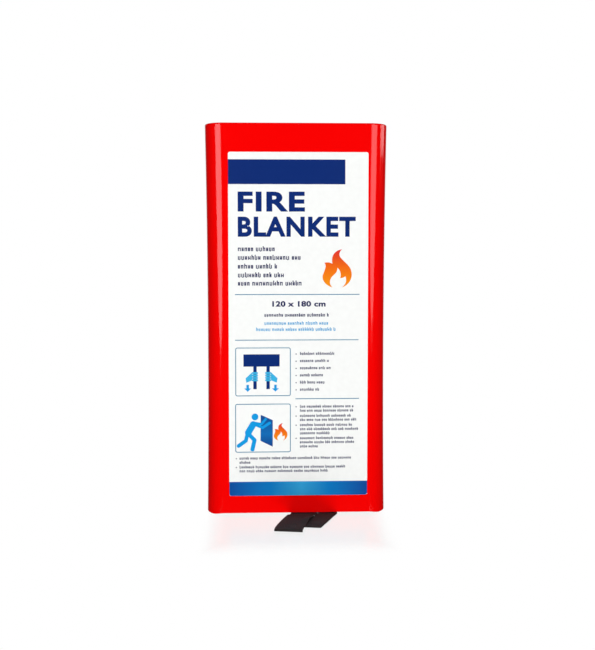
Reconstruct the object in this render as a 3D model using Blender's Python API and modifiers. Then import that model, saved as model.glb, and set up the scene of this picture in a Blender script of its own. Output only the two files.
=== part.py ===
"""Fire blanket in a slim hard case: a folded glass cloth, its two pull straps and a red two-part case.

Metres, +Z up. The origin is the centre of the back plate's outer face, which lies against the wall.
The case faces -Y. It stands on the rim of its open lower end, and the two straps come out under
the front wall and lie forward on the same surface.
"""

import math
from collections import namedtuple

import bmesh
import bpy
from mathutils import Vector

# Clearances
TOUCH_GAP = 0.0003  # between pieces that lie on each other
SNAP_CLEARANCE = 0.0003  # between the back plate and the shell it snaps into

# Case
CASE_HEIGHT = 0.300
CASE_WIDTH = 0.140  # across the sides, at the top
CASE_DEPTH = 0.045
SIDE_DRAFT = 0.0006  # how much further in each side stands at the mouth than at the top
SIDE_BOW = 0.0012  # how far each side is drawn in half way up
CORNER_RADIUS = 0.014  # the two upright front corners
SHELL_WALL = 0.002
EDGE_ROUND = 0.0006

# Back plate
PLATE_THICKNESS = 0.0025
FLANGE_WALL = 0.0015
FLANGE_DEPTH = 0.010
LUG_LENGTH = 0.016
LUG_DEPTH = 0.0025
LUG_HEIGHT = 0.0008
LUG_ROOT = 0.0008  # how deep a lug is set into its flange
LUGS_PER_SIDE = 3
LUG_END_MARGIN = 0.055  # from the case's top and mouth to the nearest lug's centre
KEYHOLE_SPACING = 0.060
KEYHOLE_HEAD_RADIUS = 0.0045
KEYHOLE_SLOT_WIDTH = 0.0048
KEYHOLE_SLOT_RISE = 0.009
KEYHOLE_BELOW_TOP = 0.026

# Label, on the flat of the front wall between the two rounded corners
LABEL_THICKNESS = 0.0002
LABEL_CORNER = 0.0015
LABEL_LEFT_MARGIN = 0.0028
LABEL_RIGHT_MARGIN = 0.0
LABEL_TOP_MARGIN = 0.0220
LABEL_BOTTOM_MARGIN = 0.0150

# Room round the folded blanket inside the case
PACK_SIDE_ROOM = 0.0036
PACK_REAR_ROOM = 0.0044
PACK_ABOVE_MOUTH = 0.0035
SCREW_ROOM = 0.007  # below the screw heads that come in through the keyholes
PACK_EDGE_ROUND = 0.005

# Straps
STRAP_WIDTH = 0.0205
STRAP_THICKNESS = 0.0010
STRAP_SIDE_GAP = 0.001  # between the two straps where they are sewn on
SEWN_HEIGHT = 0.036  # how far a strap runs up the blanket from its lower edge
STRAP_END_CLEARANCE = 0.0002  # from the swing axis to the strap's inner end
SWING_AXIS_CLEARANCE = 0.002  # from the front face to the line that both straps swing about
LIFTED = 0.007  # this far forward of the front face the left strap is up at its full height
CROSSING = 0.0085  # and from here on the right strap passes under it
BEND_STEPS = 3  # in a strap's turn under the lip
THREAD = 0.0004
STITCH_BOX = 0.011
END_STITCH_BOX = 0.008
END_STITCH_INSET = 0.0065  # from a strap's end to the middle of its stitching

# How a strap lies: the middle of it at the front face, how far to the left its end comes,
# how sharply it turns that way (1 is straight), and how far forward it reaches.
Lay = namedtuple("Lay", "mouth_x drift turn reach")
LEFT_LAY = Lay(mouth_x=0.0060, drift=0.0132, turn=1.25, reach=0.0385)
RIGHT_LAY = Lay(mouth_x=0.02115, drift=0.0146, turn=1, reach=0.0292)

# Where the pieces stand
CASE_TOP = CASE_HEIGHT / 2
CASE_MOUTH = -CASE_HEIGHT / 2
FRONT_FACE = -CASE_DEPTH
FRONT_WALL_INSIDE = FRONT_FACE + SHELL_WALL
LIP_RELIEF = STRAP_THICKNESS + TOUCH_GAP  # the front wall stops this far above the standing surface
STITCH_ROOM = 2 * TOUCH_GAP + THREAD  # from a strap's face to whatever is in front of its stitching
PACK_FRONT = FRONT_WALL_INSIDE + STITCH_ROOM + TOUCH_GAP + STRAP_THICKNESS + TOUCH_GAP
PACK_REAR = -PLATE_THICKNESS - PACK_REAR_ROOM
PACK_BOTTOM = CASE_MOUTH + PACK_ABOVE_MOUTH
PACK_TOP = CASE_TOP - KEYHOLE_BELOW_TOP - KEYHOLE_HEAD_RADIUS - SCREW_ROOM
ROOT_PLANE = PACK_FRONT - TOUCH_GAP - STRAP_THICKNESS / 2  # the middle of a strap where it is sewn on
LYING_HEIGHT = CASE_MOUTH + STRAP_THICKNESS / 2  # the middle of a strap lying on the surface
OVERLAP_LIFT = STRAP_THICKNESS + TOUCH_GAP  # how much the left strap rises to cross the right one
SWING_AXIS_Y = FRONT_FACE - SWING_AXIS_CLEARANCE
SWING_AXIS_Z = LYING_HEIGHT
ROOT_END_Y = SWING_AXIS_Y + math.hypot(STRAP_END_CLEARANCE, STRAP_THICKNESS / 2) + TOUCH_GAP

SAME_PLACE = 1e-6  # points closer than this are one point
CUT_PAST = 0.001  # how far a cutter reaches beyond what it cuts
SHARP_EDGE = math.radians(50)  # edges that turn more than this are rounded
WALL_ROWS = 12
ARC_STEPS = 8
FRONT_STEPS = 4
CLIMB_STEPS = 4
STRAP_STEPS = 10


def clear_scene():
    for thing in list(bpy.data.objects):
        bpy.data.objects.remove(thing, do_unlink=True)
    for collection in list(bpy.data.collections):
        bpy.data.collections.remove(collection)


def new_collection(name):
    collection = bpy.data.collections.new(name)
    bpy.context.scene.collection.children.link(collection)
    return collection


def material(name, color, roughness, metallic=0.0):
    made = bpy.data.materials.new(name)
    made.use_nodes = True
    shader = made.node_tree.nodes["Principled BSDF"]
    shader.inputs["Base Color"].default_value = (*color, 1.0)
    shader.inputs["Roughness"].default_value = roughness
    shader.inputs["Metallic"].default_value = metallic
    return made


def mesh_object(name, bm, collection, finish=None):
    """The bmesh as a named object with one material."""
    mesh = bpy.data.meshes.new(name)
    bm.normal_update()
    bm.to_mesh(mesh)
    bm.free()
    made = bpy.data.objects.new(name, mesh)
    collection.objects.link(made)
    if finish is not None:
        mesh.materials.append(finish)
    return made


def solidify(piece, thickness, offset):
    """Thickens an open surface: offset -1 behind its faces, 0 to both sides, 1 in front of them."""
    shell = piece.modifiers.new("thickness", "SOLIDIFY")
    shell.thickness = thickness
    shell.offset = offset
    shell.use_even_offset = True


def round_edges(piece, width, segments=2):
    rounding = piece.modifiers.new("rounded_edges", "BEVEL")
    rounding.width = width
    rounding.segments = segments
    rounding.limit_method = "ANGLE"
    rounding.angle_limit = SHARP_EDGE


def combine(piece, other, operation):
    """Cuts another mesh out of a piece (DIFFERENCE) or joins it on (UNION)."""
    boolean = piece.modifiers.new(other.name, "BOOLEAN")
    boolean.operation = operation
    boolean.solver = "EXACT"
    boolean.object = other


def box(name, low, high, collection):
    """A block between two corners."""
    bm = bmesh.new()
    bmesh.ops.create_cube(bm, size=1.0)
    middle = (Vector(low) + Vector(high)) / 2
    size = Vector(high) - Vector(low)
    bmesh.ops.scale(bm, vec=size, verts=bm.verts)
    bmesh.ops.translate(bm, vec=middle, verts=bm.verts)
    return mesh_object(name, bm, collection)


def rod_along_y(name, centre, radius, length, collection):
    """A cylinder whose axis runs front to back."""
    bm = bmesh.new()
    bmesh.ops.create_cone(bm, cap_ends=True, segments=32, radius1=radius, radius2=radius, depth=length)
    bmesh.ops.rotate(bm, verts=bm.verts, matrix=turn_to_y())
    bmesh.ops.translate(bm, vec=centre, verts=bm.verts)
    return mesh_object(name, bm, collection)


def turn_to_y():
    return Vector((0, 0, 1)).rotation_difference(Vector((0, 1, 0))).to_matrix()


def tool(made):
    """Marks an object as one that only cuts or joins others."""
    made.hide_render = True
    made.display_type = "WIRE"
    return made


def shaped_grid(columns, rows, place):
    """An open surface: a grid of columns by rows whose points place(column, row) sets."""
    bm = bmesh.new()
    bmesh.ops.create_grid(bm, x_segments=columns, y_segments=rows, size=1.0)
    for vert in bm.verts:
        column = round((vert.co.x + 1) / 2 * columns)
        row = round((vert.co.y + 1) / 2 * rows)
        vert.co = place(column, row)
    return bm


def half_width(z):
    """Half the case's outside width at a height: drafted from top to mouth, and bowed in between."""
    rise = (z - CASE_MOUTH) / CASE_HEIGHT
    return CASE_WIDTH / 2 - SIDE_DRAFT * (1 - rise) - SIDE_BOW * 4 * rise * (1 - rise)


def narrowest_half_width():
    """Half the outside width where the sides come closest together."""
    heights = [CASE_MOUTH + CASE_HEIGHT * row / WALL_ROWS for row in range(WALL_ROWS + 1)]
    return min(half_width(z) for z in heights)


def smooth_step(share):
    share = min(max(share, 0.0), 1.0)
    return share * share * (3 - 2 * share)


def wall_stations():
    """(share of the half width, inset, y, share of the lip relief) round the shell's three walls."""
    corner_y = FRONT_FACE + CORNER_RADIUS
    right = [(1.0, 0.0, 0.0, 0.0), (1.0, 0.0, corner_y / 2, 0.0)]
    for step in range(ARC_STEPS + 1):
        turn = math.pi / 2 * step / ARC_STEPS
        inset = CORNER_RADIUS * (1 - math.cos(turn))
        relief = smooth_step(2 * step / ARC_STEPS - 1)
        right.append((1.0, inset, corner_y - CORNER_RADIUS * math.sin(turn), relief))
    front = [
        (1 - 2 * step / FRONT_STEPS, CORNER_RADIUS, FRONT_FACE, 1.0) for step in range(1, FRONT_STEPS)
    ]
    left = [(-share, inset, y, relief) for share, inset, y, relief in reversed(right)]
    return right + front + left


def front_shell(collection, tools, finish):
    """Front, sides and top in one moulding, open at the back and at the mouth."""
    stations = wall_stations()

    def place(column, row):
        share, inset, y, relief = stations[column]
        low = CASE_MOUTH + relief * LIP_RELIEF
        z = low + (CASE_TOP - low) * row / WALL_ROWS
        return Vector((share * (half_width(z) - inset), y, z))

    bm = shaped_grid(len(stations) - 1, WALL_ROWS, place)
    at_top = [v for v in bm.verts if abs(v.co.z - CASE_TOP) < SAME_PLACE]
    rim = [edge for edge in bm.edges if all(v in at_top for v in edge.verts)]
    rim.append(bm.edges.new([v for v in at_top if abs(v.co.y) < SAME_PLACE]))
    bmesh.ops.contextual_create(bm, geom=rim)
    bmesh.ops.recalc_face_normals(bm, faces=bm.faces)
    shell = mesh_object("front_shell", bm, collection, finish)
    solidify(shell, SHELL_WALL, -1)
    round_edges(shell, EDGE_ROUND)
    for side, z in lug_places():
        combine(shell, lug("groove", side, z, SNAP_CLEARANCE, tools), "DIFFERENCE")
    return shell


def lug_places():
    """(side, height) of each snap lug."""
    lowest = CASE_MOUTH + LUG_END_MARGIN
    spread = CASE_HEIGHT - 2 * LUG_END_MARGIN
    heights = [lowest + spread * step / (LUGS_PER_SIDE - 1) for step in range(LUGS_PER_SIDE)]
    return [(side, z) for side in (-1, 1) for z in heights]


def lug(kind, side, z, margin, tools):
    """A snap lug standing off the back plate's flange, or with a margin the groove that it snaps into."""
    flange_face = half_width(z) - SHELL_WALL - SNAP_CLEARANCE
    inner, outer = flange_face - LUG_ROOT, flange_face + LUG_HEIGHT + margin
    middle_y = -FLANGE_DEPTH / 2
    low = (inner, middle_y - LUG_DEPTH / 2 - margin, z - LUG_LENGTH / 2 - margin)
    high = (outer, middle_y + LUG_DEPTH / 2 + margin, z + LUG_LENGTH / 2 + margin)
    if side < 0:
        low, high = (-high[0], *low[1:]), (-low[0], *high[1:])
    name = f"{kind}_{'left' if side < 0 else 'right'}_{round(z * 1000)}"
    return tool(box(name, low, high, tools))


def bowed_slab(name, inset, bottom, top, back, front, collection, finish=None):
    """An upright slab whose two sides follow the case's sides, inset from them."""

    def place(column, row):
        z = bottom + (top - bottom) * row / WALL_ROWS
        return Vector(((2 * column - 1) * (half_width(z) - inset), back, z))

    bm = shaped_grid(1, WALL_ROWS, place)
    made = bmesh.ops.extrude_face_region(bm, geom=bm.faces)
    moved = [item for item in made["geom"] if isinstance(item, bmesh.types.BMVert)]
    bmesh.ops.translate(bm, vec=(0, front - back, 0), verts=moved)
    bmesh.ops.recalc_face_normals(bm, faces=bm.faces)
    return mesh_object(name, bm, collection, finish)


def back_plate(collection, tools, finish):
    """A shallow tray: the plate that lies on the wall, with a flange round its sides and top."""
    inset = SHELL_WALL + SNAP_CLEARANCE
    top = CASE_TOP - inset
    plate = bowed_slab("back_plate", inset, CASE_MOUTH, top, 0.0, -FLANGE_DEPTH, collection, finish)
    hollow = bowed_slab(
        "plate_hollow",
        inset + FLANGE_WALL,
        CASE_MOUTH - CUT_PAST,
        top - FLANGE_WALL,
        -PLATE_THICKNESS,
        -FLANGE_DEPTH - CUT_PAST,
        tools,
    )
    combine(plate, tool(hollow), "DIFFERENCE")
    for side, z in lug_places():
        combine(plate, lug("lug", side, z, 0.0, tools), "UNION")
    for side in (-1, 1):
        for cutter in keyhole(side, tools):
            combine(plate, cutter, "DIFFERENCE")
    return plate


def keyhole(side, tools):
    """A hole for a screw's head, and the slot above it for the screw's neck."""
    x = side * KEYHOLE_SPACING / 2
    z = CASE_TOP - KEYHOLE_BELOW_TOP
    y = -PLATE_THICKNESS / 2
    length = PLATE_THICKNESS + 2 * CUT_PAST
    neck = KEYHOLE_SLOT_WIDTH / 2
    slot_top = z + KEYHOLE_SLOT_RISE
    word = "left" if side < 0 else "right"
    head = rod_along_y(f"keyhole_head_{word}", (x, y, z), KEYHOLE_HEAD_RADIUS, length, tools)
    end = rod_along_y(f"keyhole_end_{word}", (x, y, slot_top), neck, length, tools)
    low = (x - neck, y - length / 2, z)
    high = (x + neck, y + length / 2, slot_top)
    slot = box(f"keyhole_slot_{word}", low, high, tools)
    return [tool(cutter) for cutter in (head, end, slot)]


def front_label(collection, finish):
    """A thin printed sheet on the flat of the front wall, with slightly rounded corners."""
    flat = narrowest_half_width() - CORNER_RADIUS
    face = FRONT_FACE - TOUCH_GAP
    low = (LABEL_LEFT_MARGIN - flat, face - LABEL_THICKNESS, CASE_MOUTH + LABEL_BOTTOM_MARGIN)
    high = (flat - LABEL_RIGHT_MARGIN, face, CASE_TOP - LABEL_TOP_MARGIN)
    label = box("front_label", low, high, collection)
    label.data.materials.append(finish)
    round_corners_along_y(label.data, LABEL_CORNER)
    return label


def round_corners_along_y(mesh, radius):
    """Rounds the four edges of a block that run front to back."""
    bm = bmesh.new()
    bm.from_mesh(mesh)
    corners = [e for e in bm.edges if abs(e.verts[0].co.y - e.verts[1].co.y) > SAME_PLACE]
    bmesh.ops.bevel(bm, geom=corners, offset=radius, segments=4, profile=0.5, affect="EDGES")
    bm.to_mesh(mesh)
    bm.free()


def folded_blanket(collection, finish):
    """The folded cloth as one block with soft edges, as large as the room inside the case."""
    inside = narrowest_half_width() - SHELL_WALL - SNAP_CLEARANCE - FLANGE_WALL
    half = inside - PACK_SIDE_ROOM
    pack = box("blanket", (-half, PACK_FRONT, PACK_BOTTOM), (half, PACK_REAR, PACK_TOP), collection)
    pack.data.materials.append(finish)
    round_edges(pack, PACK_EDGE_ROUND, segments=3)
    return pack


def strap_edges(lay, forward):
    """Left and right edge of a strap at a distance forward of the front face."""
    share = forward / lay.reach
    middle = lay.mouth_x - lay.drift * (1 - (1 - share) ** lay.turn)
    left, right = middle - STRAP_WIDTH / 2, middle + STRAP_WIDTH / 2
    if lay is RIGHT_LAY and forward < CROSSING + SAME_PLACE:
        left = max(left, strap_edges(LEFT_LAY, forward)[1] + TOUCH_GAP)  # gathered beside the left one
    return left, right


def strap_lift(lay, forward):
    """How far a strap is off the surface: the left one climbs on to the right one and stays up."""
    if lay is RIGHT_LAY:
        return 0.0
    return OVERLAP_LIFT * smooth_step(2 * forward / LIFTED - 1)


def strap(name, lay, collection, finish):
    """The free end of a strap, from the swing axis out over the surface in front of the case."""
    start = SWING_AXIS_CLEARANCE + STRAP_END_CLEARANCE
    climb = [start + (LIFTED - start) * step / CLIMB_STEPS for step in range(CLIMB_STEPS + 1)]
    crossed = [CROSSING + (lay.reach - CROSSING) * step / STRAP_STEPS for step in range(STRAP_STEPS + 1)]
    stations = climb + crossed

    def place(column, row):
        forward = stations[row]
        left, right = strap_edges(lay, forward)
        z = LYING_HEIGHT + strap_lift(lay, forward)
        return Vector((left + (right - left) * column / 2, FRONT_FACE - forward, z))

    bm = shaped_grid(2, len(stations) - 1, place)
    made = mesh_object(name, bm, collection, finish)
    solidify(made, STRAP_THICKNESS, 0)
    return made


def sewn_middle(lay):
    """Where across the blanket a strap is sewn: the right one beside the left one."""
    return LEFT_LAY.mouth_x + (STRAP_WIDTH + STRAP_SIDE_GAP if lay is RIGHT_LAY else 0.0)


def strap_root(name, lay, collection, finish):
    """The part of a strap inside the case: sewn up the blanket's front, then out under the lip."""
    middle = sewn_middle(lay)
    sewn = (middle - STRAP_WIDTH / 2, middle + STRAP_WIDTH / 2)
    mouth = strap_edges(lay, 0.0)
    bend = ROOT_PLANE - FRONT_WALL_INSIDE  # the radius of its turn, in the room behind the wall
    stations = [
        (ROOT_PLANE, PACK_BOTTOM + SEWN_HEIGHT, sewn),
        (ROOT_PLANE, PACK_BOTTOM + PACK_EDGE_ROUND, sewn),
    ]
    for step in range(BEND_STEPS + 1):
        turn = math.pi / 2 * step / BEND_STEPS
        y = ROOT_PLANE - bend * (1 - math.cos(turn))
        stations.append((y, LYING_HEIGHT + bend * (1 - math.sin(turn)), mouth))
    stations.append((ROOT_END_Y, LYING_HEIGHT, strap_edges(lay, FRONT_FACE - ROOT_END_Y)))

    def place(column, row):
        y, z, (left, right) = stations[row]
        return Vector((left + (right - left) * column / 2, y, z))

    bm = shaped_grid(2, len(stations) - 1, place)
    made = mesh_object(name, bm, collection, finish)
    solidify(made, STRAP_THICKNESS, 0)
    return made


def box_stitch(name, centre, right, up, size, collection, finish):
    """Thread sewn in a box with a cross in it, lying in the plane of right and up."""
    right, up, centre = Vector(right), Vector(up), Vector(centre)
    bm = bmesh.new()
    bmesh.ops.create_grid(bm, x_segments=1, y_segments=1, size=0.5)
    for vert in bm.verts:
        vert.co = centre + right * vert.co.x * size + up * vert.co.y * size
    bmesh.ops.poke(bm, faces=bm.faces)
    thread = mesh_object(name, bm, collection, finish)
    lattice = thread.modifiers.new("thread", "WIREFRAME")
    lattice.thickness = THREAD
    lattice.use_boundary = True
    lattice.use_even_offset = False
    return thread


def root_stitch(name, lay, collection, finish):
    """The box stitch that holds a strap to the blanket."""
    face = ROOT_PLANE - STRAP_THICKNESS / 2
    centre = (sewn_middle(lay), face - TOUCH_GAP - THREAD / 2, PACK_BOTTOM + SEWN_HEIGHT - STITCH_BOX)
    return box_stitch(name, centre, (1, 0, 0), (0, 0, 1), STITCH_BOX, collection, finish)


def end_stitch(name, lay, collection, finish):
    """The box stitch through a strap's folded end, in the part that nothing lies on."""
    forward = lay.reach - END_STITCH_INSET
    left, right = strap_edges(lay, forward)
    if lay is RIGHT_LAY:
        left = strap_edges(LEFT_LAY, lay.reach - 2 * END_STITCH_INSET)[1]
    face = LYING_HEIGHT + strap_lift(lay, forward) + STRAP_THICKNESS / 2
    centre = ((left + right) / 2, FRONT_FACE - forward, face + TOUCH_GAP + THREAD / 2)
    return box_stitch(name, centre, (1, 0, 0), (0, 1, 0), END_STITCH_BOX, collection, finish)


def joint_empty(name, place, collection, pieces, parent=None):
    """An empty on a joint's axis, with the pieces that move on it."""
    empty = bpy.data.objects.new(name, None)
    empty.empty_display_size = 0.02
    empty.location = place
    collection.objects.link(empty)
    bpy.context.view_layer.update()
    for piece in pieces:
        piece.parent = empty
        piece.matrix_parent_inverse = empty.matrix_world.inverted()
    if parent is not None:
        empty.parent = parent
        empty.matrix_parent_inverse = parent.matrix_world.inverted()
    return empty


def build():
    clear_scene()
    parts = new_collection("fire_blanket")
    tools = new_collection("cutters")
    red = material("red_plastic", (0.86, 0.006, 0.006), 0.22)
    paper = material("label_print", (0.90, 0.91, 0.90), 0.35)
    cloth = material("glass_cloth", (0.80, 0.79, 0.74), 0.75)
    webbing = material("black_webbing", (0.035, 0.027, 0.028), 0.80)
    thread = material("black_thread", (0.022, 0.020, 0.020), 0.70)

    front_shell(parts, tools, red)
    back_plate(parts, tools, red)
    front_label(parts, paper)
    on_blanket = [
        folded_blanket(parts, cloth),
        strap_root("left_strap_root", LEFT_LAY, parts, webbing),
        strap_root("right_strap_root", RIGHT_LAY, parts, webbing),
        root_stitch("left_root_stitching", LEFT_LAY, parts, thread),
        root_stitch("right_root_stitching", RIGHT_LAY, parts, thread),
    ]
    on_left = [
        strap("left_strap", LEFT_LAY, parts, webbing),
        end_stitch("left_end_stitching", LEFT_LAY, parts, thread),
    ]
    on_right = [
        strap("right_strap", RIGHT_LAY, parts, webbing),
        end_stitch("right_end_stitching", RIGHT_LAY, parts, thread),
    ]
    slide = joint_empty("blanket_slide", (0, PACK_REAR, CASE_MOUTH), parts, on_blanket)
    axis = (0, SWING_AXIS_Y, SWING_AXIS_Z)
    joint_empty("left_strap_swing", axis, parts, on_left, parent=slide)
    joint_empty("right_strap_swing", axis, parts, on_right, parent=slide)


build()
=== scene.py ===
"""Looks of the fire blanket: a red hard case, its label, the folded glass cloth and two black pull straps."""

from collections import namedtuple

import math
import random

import bmesh
import bpy
from mathutils import Matrix, Vector
from mathutils.geometry import interpolate_bezier


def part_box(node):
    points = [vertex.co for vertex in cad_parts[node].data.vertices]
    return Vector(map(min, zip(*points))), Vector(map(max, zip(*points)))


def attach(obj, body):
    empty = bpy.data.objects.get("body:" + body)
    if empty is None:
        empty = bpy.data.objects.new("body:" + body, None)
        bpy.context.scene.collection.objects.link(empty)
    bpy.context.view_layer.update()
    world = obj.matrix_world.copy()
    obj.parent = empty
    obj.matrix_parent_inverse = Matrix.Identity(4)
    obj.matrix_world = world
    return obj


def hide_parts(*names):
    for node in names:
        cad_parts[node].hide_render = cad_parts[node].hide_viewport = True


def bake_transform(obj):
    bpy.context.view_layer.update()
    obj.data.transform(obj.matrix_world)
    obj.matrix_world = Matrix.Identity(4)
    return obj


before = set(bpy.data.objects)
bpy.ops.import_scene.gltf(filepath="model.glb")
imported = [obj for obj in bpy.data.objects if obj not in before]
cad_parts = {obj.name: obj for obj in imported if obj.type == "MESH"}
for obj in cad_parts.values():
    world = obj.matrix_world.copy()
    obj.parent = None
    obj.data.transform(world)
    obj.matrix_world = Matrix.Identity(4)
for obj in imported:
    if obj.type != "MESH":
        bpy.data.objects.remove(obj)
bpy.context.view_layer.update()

SHELL_LOW, SHELL_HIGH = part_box("front_shell")
LABEL_LOW, LABEL_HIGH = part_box("front_label")
PACK_LOW, PACK_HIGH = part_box("blanket")
LEFT_ROOT_LOW, LEFT_ROOT_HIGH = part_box("left_strap_root")
LEFT_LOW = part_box("left_strap")[0]
RIGHT_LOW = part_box("right_strap")[0]

TOP, MOUTH, FRONT = SHELL_HIGH.z, LEFT_ROOT_LOW.z, SHELL_LOW.y
HEIGHT = TOP - MOUTH

# The case's own sizes, as its CAD has them
TOP_HALF_WIDTH = 0.070
SIDE_DRAFT = 0.0006
SIDE_BOW = 0.0012
CORNER_RADIUS = 0.014
WALL = 0.002
LIP_RELIEF = 0.0013
FIT = 0.0003
PLATE = 0.0025
FLANGE_WALL = 0.0015
FLANGE_DEPTH = 0.010
LUG_SIZE = (0.0016, 0.0025, 0.016)
LUG_OUT = 0.0008
LUG_HEIGHTS = (-0.095, 0.0, 0.095)
KEYHOLE_X = 0.030
KEYHOLE_Z = TOP - 0.026
KEYHOLE_HEAD = 0.0045
KEYHOLE_NECK = 0.0024
KEYHOLE_RISE = 0.009

# Roundings that the mouldings have
TOP_ROUND = 0.0012
RIM_ROUND = 0.0005
INNER_ROUND = 0.0008

MM = 0.001
LABEL_WIDE = (LABEL_HIGH.x - LABEL_LOW.x) / MM
LABEL_TALL = (LABEL_HIGH.z - LABEL_LOW.z) / MM
PRINT_RIGHT, PRINT_DOWN = 0.6, 1.2


# ---------------------------------------------------------------- building


def add(name, mesh, finish=None):
    """A new object in the scene, with its material."""
    made = bpy.data.objects.new(name, mesh)
    bpy.context.scene.collection.objects.link(made)
    if finish is not None:
        mesh.materials.append(finish)
    return made


def from_bmesh(name, bm, finish=None, smooth=True):
    mesh = bpy.data.meshes.new(name)
    bmesh.ops.recalc_face_normals(bm, faces=bm.faces)
    for face in bm.faces:
        face.smooth = smooth
    bm.to_mesh(mesh)
    bm.free()
    return add(name, mesh, finish)


def settle(piece):
    """Makes a piece's modifiers part of its mesh."""
    shown = piece.evaluated_get(bpy.context.evaluated_depsgraph_get())
    mesh = bpy.data.meshes.new_from_object(shown)
    piece.modifiers.clear()
    piece.data = mesh
    return piece


def even_shading(piece):
    """Shades large faces flat and lets the small roundings turn between them."""
    weighted = piece.modifiers.new("even_shading", "WEIGHTED_NORMAL")
    weighted.keep_sharp = True
    weighted.weight = 60


def ease_edges(piece, width, segments=2, angle=40):
    easing = piece.modifiers.new("eased_edges", "BEVEL")
    easing.width = width
    easing.segments = segments
    easing.limit_method = "ANGLE"
    easing.angle_limit = math.radians(angle)


def combine(piece, others, operation):
    """Cuts other meshes out of a piece or joins them on, and takes them away."""
    for other in others:
        boolean = piece.modifiers.new(other.name, "BOOLEAN")
        boolean.operation = operation
        boolean.solver = "EXACT"
        boolean.object = other
    settle(piece)
    for other in others:
        bpy.data.objects.remove(other, do_unlink=True)


def block(name, low, high):
    bm = bmesh.new()
    bmesh.ops.create_cube(bm, size=1.0)
    low, high = Vector(low), Vector(high)
    bmesh.ops.scale(bm, vec=high - low, verts=bm.verts)
    bmesh.ops.translate(bm, vec=(low + high) / 2, verts=bm.verts)
    return from_bmesh(name, bm, smooth=False)


def rod(name, centre, radius, length):
    """A round bar that runs front to back."""
    bm = bmesh.new()
    bmesh.ops.create_cone(bm, cap_ends=True, segments=64, radius1=radius, radius2=radius, depth=length)
    bmesh.ops.rotate(bm, verts=bm.verts, matrix=Matrix.Rotation(math.pi / 2, 3, "X"))
    bmesh.ops.translate(bm, vec=centre, verts=bm.verts)
    return from_bmesh(name, bm, smooth=False)


def surface(columns, rows, place, shade_at=None):
    """An open grid whose points place(column, row) sets, with its flat layout as texture coordinates."""
    bm = bmesh.new()
    verts = [[bm.verts.new(place(c, r)) for c in range(columns)] for r in range(rows)]
    flat = bm.loops.layers.uv.new("flat") if shade_at else None
    for r in range(rows - 1):
        for c in range(columns - 1):
            corners = [(c, r), (c + 1, r), (c + 1, r + 1), (c, r + 1)]
            face = bm.faces.new([verts[j][i] for i, j in corners])
            face.smooth = True
            if flat:
                for loop, (i, j) in zip(face.loops, corners):
                    loop[flat].uv = shade_at(i, j)
    return bm, verts


# ---------------------------------------------------------------- shading


class Group:
    """A shader node group with named inputs and outputs, to be used by several materials."""

    def __init__(self, name, inputs, outputs):
        self.tree = bpy.data.node_groups.new(name, "ShaderNodeTree")
        for socket, kind, value in inputs:
            made = self.tree.interface.new_socket(name=socket, in_out="INPUT", socket_type=kind)
            if value is not None:
                made.default_value = value
        for socket, kind in outputs:
            self.tree.interface.new_socket(name=socket, in_out="OUTPUT", socket_type=kind)
        self.start = self.tree.nodes.new("NodeGroupInput")
        self.end = self.tree.nodes.new("NodeGroupOutput")

    def node(self, kind, **settings):
        return new_node(self.tree, kind, **settings)

    def join(self, source, target):
        self.tree.links.new(source, target)


def new_node(tree, kind, **settings):
    """A node with its settings, and its inputs by name where a setting isn't one of the node's own."""
    made = tree.nodes.new(kind)
    for key, value in settings.items():
        if hasattr(made, key):
            setattr(made, key, value)
        else:
            made.inputs[key.replace("_", " ").title()].default_value = value
    return made


def moulded_surface():
    """The slight unevenness of a moulded plastic face: tone, gloss and a fine ripple."""
    group = Group(
        "moulded_surface",
        [("Ripple Scale", "NodeSocketFloat", 700.0), ("Gloss", "NodeSocketFloat", 0.2)],
        [("Tone", "NodeSocketFloat"), ("Roughness", "NodeSocketFloat"), ("Height", "NodeSocketFloat")],
    )
    place = group.node("ShaderNodeTexCoord")
    broad = group.node("ShaderNodeTexNoise", scale=14.0, detail=2.0)
    ripple = group.node("ShaderNodeTexNoise", detail=3.0)
    patches = group.node("ShaderNodeTexNoise", scale=55.0, detail=6.0, roughness=0.65)
    for noise in (broad, ripple, patches):
        group.join(place.outputs["Object"], noise.inputs["Vector"])
    group.join(group.start.outputs["Ripple Scale"], ripple.inputs["Scale"])
    tone = group.node("ShaderNodeMapRange")
    tone.inputs["To Min"].default_value = 0.97
    tone.inputs["To Max"].default_value = 1.03
    group.join(broad.outputs["Fac"], tone.inputs["Value"])
    group.join(tone.outputs["Result"], group.end.inputs["Tone"])
    spread = group.node("ShaderNodeMapRange")
    spread.inputs["From Min"].default_value = 0.3
    spread.inputs["From Max"].default_value = 0.7
    spread.inputs["To Min"].default_value = -0.02
    spread.inputs["To Max"].default_value = 0.03
    group.join(patches.outputs["Fac"], spread.inputs["Value"])
    gloss = group.node("ShaderNodeMath", operation="ADD", use_clamp=True)
    group.join(spread.outputs["Result"], gloss.inputs[0])
    group.join(group.start.outputs["Gloss"], gloss.inputs[1])
    group.join(gloss.outputs["Value"], group.end.inputs["Roughness"])
    weight = group.node("ShaderNodeMath", operation="MULTIPLY_ADD")
    weight.inputs[1].default_value = 6.0
    group.join(broad.outputs["Fac"], weight.inputs[0])
    group.join(ripple.outputs["Fac"], weight.inputs[2])
    group.join(weight.outputs["Value"], group.end.inputs["Height"])
    return group.tree


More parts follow.
